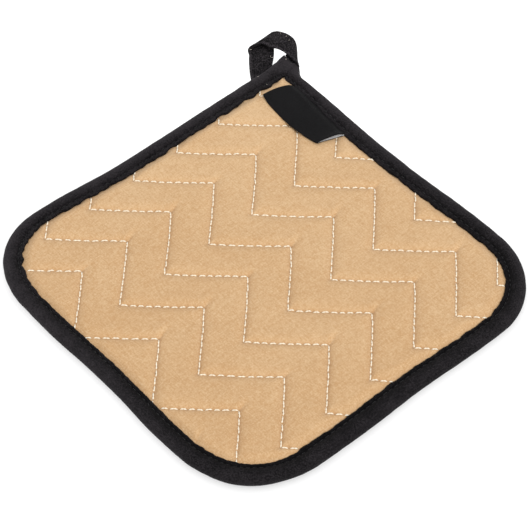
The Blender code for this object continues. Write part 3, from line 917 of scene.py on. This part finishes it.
THREAD_RADIUS = 0.34 * MM
THREAD_TIP = 0.35
PLY_SWING = 0.55
PLY_SHARE = 0.62
PLY_TWIST = 1.25


# ---- the binding ----

SECTION_STEPS = 3
BINDING_STITCH = 3.7 * MM
STITCH_INSET = 7.9 * MM
LIP_FADE = 1.8 * MM
FAR_FADE = 120 * MM
LEFT_FADE = 6 * MM
OVERLAP_TURN = 0.80
OVERLAP_DROP = 0.75 * MM
OVERLAP_LENGTH = 30 * MM
LIP_OVER_LABEL = 0.6 * MM

# How far the lip wanders in and out with the stitches, with lumps (more so on the far left side) and
# with longer bows, and how far the outer edge does.
STITCH_SCALLOP = 0.18 * MM
LUMP_SCALLOP = 0.46 * MM
LEFT_SCALLOP = 0.50 * MM
BOW_SCALLOP = 0.22 * MM
EDGE_BOW = 0.13 * MM
EDGE_LUMP = 0.10 * MM

# The unevenness of the tape: how fine it is across against along, its size along, and its seed.
TapeWave = namedtuple("TapeWave", "across size seed")
PUCKER_WAVE = TapeWave(0.16, 2.4 * MM, 3)
LUMP_WAVE = TapeWave(0.0, 5.5 * MM, 9)
ROLL_WAVE = TapeWave(0.6, 16 * MM, 4)
BOW_WAVE = TapeWave(0.0, 19 * MM, 10)

# Lines along the tape where it rises or sinks: how much, how far in from its edge, and how wide.
Ridge = namedtuple("Ridge", "height inset width")
GROOVE_RIDGE, PUCKER_RIDGE, ROLL_RIDGE, LIP_RIDGE, UNDER_RIDGE = sized(
    Ridge, (-0.26, 7.9, 0.8), (0.15, 6.2, 2.4), (0.22, 3.6, 2.8), (0.16, 9.4, 1.4), (0.08, 8.2, 1.4))


def ridge(shape, inset):
    return shape.height * bump(inset - shape.inset, shape.width)


def tape_wave(kind, inset):
    """The tape's unevenness of one kind, at each station of the outline and each inset."""
    grid = np.stack(np.broadcast_arrays(edge_along[:, None], inset), axis=-1).reshape(-1, 2)
    return waves(grid * np.array([1.0, kind.across]), kind.size, kind.seed).reshape(len(edge), -1)


def binding_rows():
    """The binding's section as insets and heights, filled in to a smooth closed line."""
    places = np.stack([column(BINDING_SECTION, "inset"), column(BINDING_SECTION, "height")], axis=-1)
    ring = np.concatenate([places[-2:], places, places[:3]])
    fine = curve_through(ring, SECTION_STEPS)
    return fine[2 * SECTION_STEPS:(2 + len(places)) * SECTION_STEPS]


def lip_over_label(u, v, inset):
    """How far the lip rises over the label where that is sewn in."""
    start = ease((u - LABEL[0].sewn_u + 1.5 * MM) / (2 * MM))
    end = ease((LABEL[-1].sewn_u + 1.5 * MM - u) / (2 * MM))
    that_side = v > 0.8 * HALF_SIDE
    return LIP_OVER_LABEL * start * end * that_side * ease((inset - 7.6 * MM) / (1.6 * MM))


def overlap_drop():
    """How far the tape that leaves the loop corner starts below the end of the one that comes to it."""
    since = (edge_along - edge_along[np.argmax(edge[:, 7] >= OVERLAP_TURN)])[:, None]
    fade = np.clip(1 - since / OVERLAP_LENGTH, 0, 1) * ease(since / (0.9 * MM) + 0.5)
    return OVERLAP_DROP * fade * (since > -1.0 * MM)


def binding(material):
    """The folded tape round the pad, with the places of its grid."""
    section = binding_rows()
    inset, height = section[None, :, 0], section[None, :, 1]
    outer = (np.arange(len(section)) <= (OUTSIDE_ROWS - 0.5) * SECTION_STEPS)[None, :]
    on_top = outer & (height > TAB_MID_HEIGHT)
    below = outer & (height <= TAB_MID_HEIGHT)
    edge_u, edge_v, out_u, out_v, spread, reach, rise = (edge[:, k, None] for k in range(7))

    share = ease(1 - inset / TAB_STRETCH_INSET) * outer
    flat = 1 - TAB_FLATTENING * share * reach / TAB_TIP_REACH
    z = TAB_MID_HEIGHT + (height - TAB_MID_HEIGHT) * flat + rise * share

    # The row of stitches pulls a groove, makes small scallops of the lip and puckers the tape beside it.
    pucker, lumps, roll, bows = (tape_wave(kind, inset)
                                 for kind in (PUCKER_WAVE, LUMP_WAVE, ROLL_WAVE, BOW_WAVE))
    beat = 0.5 + 0.5 * np.cos(2 * math.pi * edge_along[:, None] / BINDING_STITCH)
    far = ease(0.5 + (edge_v - edge_u) / FAR_FADE)
    groove = (1 - 0.5 * far) * (1.3 + 0.5 * beat + 0.7 * lumps)
    raised = groove * ridge(GROOVE_RIDGE, inset) + pucker * ridge(PUCKER_RIDGE, inset)
    raised += roll * ridge(ROLL_RIDGE, inset) + lumps * ridge(LIP_RIDGE, inset)
    raised += lip_over_label(edge_u, edge_v, inset) - overlap_drop()
    z = z + on_top * raised + below * (1 + pucker) * ridge(UNDER_RIDGE, inset)
    z = z.clip(min=0.0)

    lip = ease((inset - STITCH_INSET) / LIP_FADE)
    far_left = ease((-0.8 * HALF_SIDE - edge_u) / LEFT_FADE)
    scallop = STITCH_SCALLOP * (0.5 - beat) + BOW_SCALLOP * bows
    scallop += (LUMP_SCALLOP + LEFT_SCALLOP * far_left) * lumps
    bulge = EDGE_BOW * bows + EDGE_LUMP * lumps
    out = reach * share - inset * spread - scallop * lip + bulge * (1 - lip)
    u, v = edge_u + out_u * out, edge_v + out_v * out
    places = to_frame(u, v, z + corner_lift(u, v))
    uv = np.stack(np.broadcast_arrays(edge_along[:, None], running_length(section)[None, :]), axis=-1)
    faces = grid_faces(len(edge), len(section), closed_rows=True, closed_columns=True)
    return mesh_piece("bound_edge", places.reshape(-1, 3), faces, material, uv.reshape(-1, 2)), places


def row_at(places, inset):
    """The line that the binding's upper face follows at an inset."""
    section = binding_rows()
    outside = np.arange(len(section)) < OUTSIDE_ROWS * SECTION_STEPS
    upper = np.nonzero(outside & (section[:, 1] > TAB_MID_HEIGHT))[0]
    order = upper[np.argsort(section[upper, 0])]
    which = np.interp(inset, section[order, 0], np.arange(len(order)))
    low = order[int(which)]
    high = order[min(int(which) + 1, len(order) - 1)]
    return places[:, low] * (1 - which % 1) + places[:, high] * (which % 1)


BLACK_STITCH = (0.08, 0.90)
BLACK_STITCH_PLAY = 0.04
BLACK_THREAD_RADIUS = 0.17 * MM
BLACK_PLY_RADIUS = 0.11 * MM
BLACK_THREAD_ARCH = 0.16 * MM


def binding_thread(places, material):
    """The row of black stitches along the binding's lip."""
    line = row_at(places, STITCH_INSET)
    rng = np.random.default_rng(SEED + 1)
    shares = np.linspace(0, 1, 7)
    paths = []
    for k in range(int(edge_along[-1] / BINDING_STITCH)):
        start = (k + BLACK_STITCH[0] + rng.uniform(0, BLACK_STITCH_PLAY)) * BINDING_STITCH
        end = (k + BLACK_STITCH[1] - rng.uniform(0, BLACK_STITCH_PLAY)) * BINDING_STITCH
        at = start + (end - start) * shares
        paths.append(np.stack([np.interp(at, edge_along, line[:, m]) for m in range(3)], axis=-1))
    paths = np.array(paths)
    paths[..., 2] += BLACK_THREAD_ARCH * (-1.1 + 1.8 * np.sin(math.pi * shares) ** 0.5)
    made = strand(two_ply(paths, BLACK_THREAD_RADIUS, 1.0), BLACK_PLY_RADIUS, 5)
    return mesh_piece("binding_thread", *made, material)


# ---- the hanging loop ----

LOOP_ACROSS = 17
LOOP_WIDTH = 13 * MM
LOOP_RIPPLE = 0.16 * MM
LOOP_FINE_RIPPLE = 0.05 * MM
ROUND_EDGE_SHARE = 0.06
THIN_EDGE = 0.38

# The thicker and thinner lines along the folded tape, by shares of its thickness and of its width.
LOOP_HEM = (Ridge(0.30, 0.02, 0.05), Ridge(0.25, 0.17, 0.03), Ridge(-0.22, 0.22, 0.025))


def hanging_loop(material):
    fine = curve_through(LOOP, 8)
    share = np.linspace(0, 1, LOOP_ACROSS)
    share = share * 0.6 + 0.4 * ease(share)
    near, far = fine[:, None, :3], fine[:, None, 3:]
    middle = near * (1 - share[None, :, None]) + far * share[None, :, None]
    lengths = running_length(middle[:, LOOP_ACROSS // 2])
    grid = np.stack(np.broadcast_arrays(lengths[:, None], share * LOOP_WIDTH), axis=-1).reshape(-1, 2)
    ripple = LOOP_RIPPLE * waves(grid, 5 * MM, 6)
    ripple += LOOP_FINE_RIPPLE * waves(grid * np.array([1.0, 0.4]), 2.2 * MM, 7)
    middle = middle + normals(middle) * ripple.reshape(middle.shape[:2])[..., None]
    rounded = np.sqrt(np.clip(np.minimum(share, 1 - share) / ROUND_EDGE_SHARE, 0, 1))
    half = TAPE_THICKNESS / 2 * (THIN_EDGE + (1 - THIN_EDGE) * rounded)
    half = half * (1 + sum(ridge(hem, share) for hem in LOOP_HEM))
    half = np.broadcast_to(half[None, :], middle.shape[:2])
    return slab("hanging_tape", middle, half, material)


# ---- the label ----

def label_grid(columns):
    """Places of the label's mid-thickness, from its sewn edge to its free edge."""
    rows = np.array([[r.sewn_u, HALF_SIDE, 0.0, r.free_u, r.free_v, 0.0] for r in LABEL])
    for _ in range(12):
        rows[:, 1] += (inset_of(rows[:, 0], rows[:, 1]) - LABEL_INSET) * 0.8
    rows = curve_through(rows, 6)
    steps = np.linspace(0, len(LABEL) - 1, len(rows))
    arch, curl = (np.interp(steps, range(len(LABEL)), column(LABEL, name))[:, None]
                  for name in ("arch", "curl"))
    share = columns[None, :, None]
    plan = rows[:, None, :2] * (1 - share) + rows[:, None, 3:5] * share
    u, v = plan[..., 0], plan[..., 1]
    inset = inset_of(u.ravel(), v.ravel()).reshape(u.shape)
    since = np.arange(len(u))[:, None]
    bulge = LABEL_TOP_BULGE * np.clip(1 - since / 8, 0, 1) ** 1.5
    u = u - bulge * np.sin(math.pi * columns)
    bulge = LABEL_END_BULGE * np.clip(1 - (len(u) - 1 - since) / 9, 0, 1) ** 1.3
    u = u + bulge * np.sin(math.pi * columns ** 0.6) ** 1.3
    rest = swelled(np.maximum(inset, LABEL_LIP_INSET), "top", TOP_AT_CROWN)
    z = rest + LABEL_CLEARANCE + (LABEL_LAYERS_APART + LABEL_CLOTH) / 2 + corner_lift(u, v)
    z = z + arch * np.sin(math.pi * columns) + curl * columns ** 2
    return u, v, z


LABEL_INSET = 9.5 * MM
LABEL_LIP_INSET = 11.0 * MM
LABEL_CLEARANCE = 0.15 * MM
LABEL_LAYERS_APART = 0.62 * MM
LABEL_CLOTH = 0.4 * MM
LABEL_FOLD_SHARE = 0.035
LABEL_END_OPENING = 1.6 * MM


def label(material, inner):
    """One strip of woven label, folded double: its upper layer, the fold and its lower layer."""
    flat = np.concatenate([[0.0], np.linspace(0.03, 0.3, 8), np.linspace(0.36, 0.94, 11)])
    fold = 1 - LABEL_FOLD_SHARE * (1 - np.sin(np.linspace(0.15, 1, 6) * math.pi / 2))
    columns = np.concatenate([flat, fold])
    columns[-1] = 1.0
    u, v, z = label_grid(columns)
    points = np.stack([u, v], axis=-1).reshape(-1, 2)
    z = z + 0.10 * MM * waves(points, 9 * MM, 8).reshape(u.shape) * ease(columns / 0.3)[None, :]
    round_fold = np.sqrt(np.clip(1 - ((columns - 1) / LABEL_FOLD_SHARE + 1).clip(min=0) ** 2, 0, 1))
    apart = LABEL_LAYERS_APART / 2 * round_fold[None, :] * np.ones_like(u)
    near_end = ease((np.arange(len(u)) - len(u) + 10) / 9)[:, None]
    opening = LABEL_END_OPENING * near_end * np.sin(math.pi * columns ** 0.8)[None, :] ** 1.2
    upper = to_frame(u, v, z + apart + opening)
    lower = to_frame(u, v, z - apart)
    strip = np.concatenate([upper, lower[:, -2::-1]], axis=1)[::-1]
    half = np.full(strip.shape[:2], LABEL_CLOTH / 2)
    return slab("bare_label", strip, half, material, inner)


# ---- lint ----

# The flecks that the photograph shows on the black tape, by its pixels, each with its length and its turn
# from the x axis in degrees.
Fleck = namedtuple("Fleck", "pixel_x pixel_y length turn")
LINT = (
    Fleck(251, 49.5, 1.3 * MM, 35),
    Fleck(270.5, 56, 0.8 * MM, 70),
    Fleck(272, 57.5, 0.9 * MM, 20),
    Fleck(280.5, 33, 0.7 * MM, 120),
    Fleck(286.5, 36, 0.8 * MM, 60),
    Fleck(289, 40, 0.7 * MM, 100),
    Fleck(286, 59, 0.8 * MM, 15),
    Fleck(284, 51.5, 0.6 * MM, 90),
    Fleck(258, 76.5, 0.7 * MM, 45),
    Fleck(267, 84.5, 0.6 * MM, 130),
)
LINT_RADIUS = 0.07 * MM
LINT_BEND = 0.35


def towards(pixel_x, pixel_y):
    """The direction in which the camera sees a pixel of the photograph."""
    pixel = CAMERA_SENSOR / CAMERA_LENS / PHOTO_WIDTH
    middle = PHOTO_WIDTH / 2
    return CAMERA_TURN @ Vector(((pixel_x - middle) * pixel, (middle - pixel_y) * pixel, -1.0))


def surface(piece):
    """A piece's faces, for finding what a straight line meets."""
    mesh = piece.data
    return BVHTree.FromPolygons([vertex.co for vertex in mesh.vertices],
                                [tuple(face.vertices) for face in mesh.polygons])


def lint(material, pieces):
    """Short bent fibres where the camera sees the given pieces at the flecks' pixels."""
    surfaces = [surface(piece) for piece in pieces]
    shares = np.linspace(-0.5, 0.5, 7)
    paths = []
    for fleck in LINT:
        way = towards(fleck.pixel_x, fleck.pixel_y)
        hits = [found.ray_cast(CAMERA_PLACE, way) for found in surfaces]
        place, _, _, _ = min((hit for hit in hits if hit[0]), key=lambda hit: hit[3])
        turn = math.radians(fleck.turn)
        along = np.array([math.cos(turn), math.sin(turn), 0.0])
        beside = np.array([-along[1], along[0], 0.0])
        bend = LINT_BEND * (shares ** 2 - 0.1)
        off = shares[:, None] * along + bend[:, None] * beside
        paths.append(np.array(place) + off * fleck.length)
    return mesh_piece("lint", *strand(paths, LINT_RADIUS, 5), material)


# ---- the studio ----

FLOOR_REACH = 6.0
FLOOR_GAP = 0.1 * MM


def floor():
    nodes = Nodes("floor_white")
    shader = nodes.shader.inputs
    shader["Base Color"].default_value = (0.93, 0.93, 0.93, 1.0)
    shader["Roughness"].default_value = 1.0
    shader["Specular IOR Level"].default_value = 0.0
    mesh = bpy.data.meshes.new("studio_floor")
    corners = [(x * FLOOR_REACH, y * FLOOR_REACH, -FLOOR_GAP)
               for x, y in ((-1, -1), (1, -1), (1, 1), (-1, 1))]
    mesh.from_pydata(corners, [], [(0, 1, 2, 3)])
    mesh.materials.append(nodes.material)
    made = bpy.data.objects.new("studio_floor", mesh)
    bpy.context.scene.collection.objects.link(made)
    return made


def dome():
    world = bpy.data.worlds.new("studio")
    bpy.context.scene.world = world
    world.use_nodes = True
    back = world.node_tree.nodes["Background"]
    back.inputs["Color"].default_value = (1.0, 1.0, 1.0, 1.0)
    back.inputs["Strength"].default_value = DOME_STRENGTH


def aimed(light, place, pieces):
    """A light at a place, turned to the middle, which lights only the given pieces."""
    made = bpy.data.objects.new(light.name, light)
    made.location = place
    made.rotation_euler = (-Vector(place)).to_track_quat("-Z", "Y").to_euler()
    bpy.context.scene.collection.objects.link(made)
    lit = bpy.data.collections.new(light.name)
    for piece in pieces:
        lit.objects.link(piece)
    made.light_linking.receiver_collection = lit
    return made


def softbox(name, place, size, power, pieces, blocker):
    """An area light of size (x, y) whose shadow comes from one piece alone."""
    light = bpy.data.lights.new(name, "AREA")
    light.shape = "RECTANGLE"
    light.size, light.size_y = size
    light.energy = power
    made = aimed(light, place, pieces)
    blockers = bpy.data.collections.new(name + "_blockers")
    blockers.objects.link(bpy.data.objects[blocker])
    made.light_linking.blocker_collection = blockers
    return made


def far_light(name, direction, angle, strength, pieces):
    """A large soft light from far off, which falls evenly on the given pieces."""
    light = bpy.data.lights.new(name, "SUN")
    light.energy = strength
    light.angle = angle
    aimed(light, direction, pieces)


def camera():
    data = bpy.data.cameras.new("camera")
    data.sensor_width = CAMERA_SENSOR
    data.lens = CAMERA_LENS
    data.clip_start = 0.05
    data.clip_end = 20.0
    made = bpy.data.objects.new("camera", data)
    made.location = CAMERA_PLACE
    made.rotation_euler = CAMERA_TURN.to_euler()
    bpy.context.scene.collection.objects.link(made)
    bpy.context.scene.camera = made


DOME_STRENGTH = 0.68
STRIP_POWER = 36.5
LOOP_FILL_POWER = 0.09
KEY_STRENGTH = 1.75
TAPE_LIGHT_STRENGTH = 1.3


def studio(pieces):
    """A white floor, with its own lights for the floor, the light cloth and the black tape."""
    black = [piece for piece in pieces if piece.name in ("bound_edge", "binding_thread", "hanging_tape")]
    others = [piece for piece in pieces if piece not in black]
    ground = floor()
    dome()
    softbox("floor_strip", (0.0, 0.25, 1.6), (0.5, 6.0), STRIP_POWER, [ground], "quilted_cloth")
    fill = softbox("loop_fill", (0.0, 0.17, 0.12), (0.06, 0.06), LOOP_FILL_POWER, [ground], "lint")
    fill.visible_camera = False
    far_light("key_light", (1.3, -2.05, 3.0), math.radians(26), KEY_STRENGTH, others)
    far_light("tape_light", (-0.6, 0.7, 3.0), math.radians(40), TAPE_LIGHT_STRENGTH, black)
    camera()
    bpy.context.scene.view_settings.view_transform = "Standard"


# ---- everything ----

def build():
    tan = tan_cotton()
    # Painted shade along the binding tape's groove, and painted light: paler on its crown and towards the
    # far left.
    tape = black_cotton("black_tape_cotton", BLACK_DARK, BLACK_LIGHT, 0.6 * MM, 0.02, nap=0.85,
                        pressed=[(22.6 * MM, 0.7 * MM, 0.5)], painted_light_across=(16.6 * MM, 21.6 * MM))
    # The loop's tape has painted shade along a line near each edge and a painted highlight along its near
    # edge.
    tail = black_cotton("black_tail_cotton", BLACK_DARK, TAIL_LIGHT, 0.65 * MM, 0.04, rib=0.9, nap=1.6,
                        pressed=[(2.5 * MM, 0.5 * MM, 0.7), (0.8 * MM, 1.1 * MM, -0.9),
                                 (11.2 * MM, 0.4 * MM, 0.4)])
    satin = black_cotton("black_label_weave", LABEL_DARK, LABEL_LIGHT, 0.3 * MM, 0.02)
    inner = black_cotton("label_reverse", REVERSE_DARK, REVERSE_LIGHT, 0.3 * MM, 0.1)
    white = thread_cotton("white_thread", THREAD_DARK, THREAD_LIGHT, 0.7)
    black = thread_cotton("black_thread", BLACK_THREAD_DARK, BLACK_THREAD_LIGHT, 0.5)

    pad = quilted_pad(tan)
    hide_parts("quilted_pad")

    top_thread = quilting_thread("quilting_thread", white, top_height, 1, 9.7 * MM, True)
    back_thread = quilting_thread("quilting_thread_back", white, bottom_height, -1, 9.7 * MM, False)

    bound, places = binding(tape)
    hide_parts("binding")
    edge_thread = binding_thread(places, black)

    loop = hanging_loop(tail)
    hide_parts("hanging_loop")

    bare = label(satin, inner)
    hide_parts("label")

    flecks = lint(white, [loop, bound])
    return pad, top_thread, back_thread, bound, edge_thread, loop, bare, flecks


studio(build())
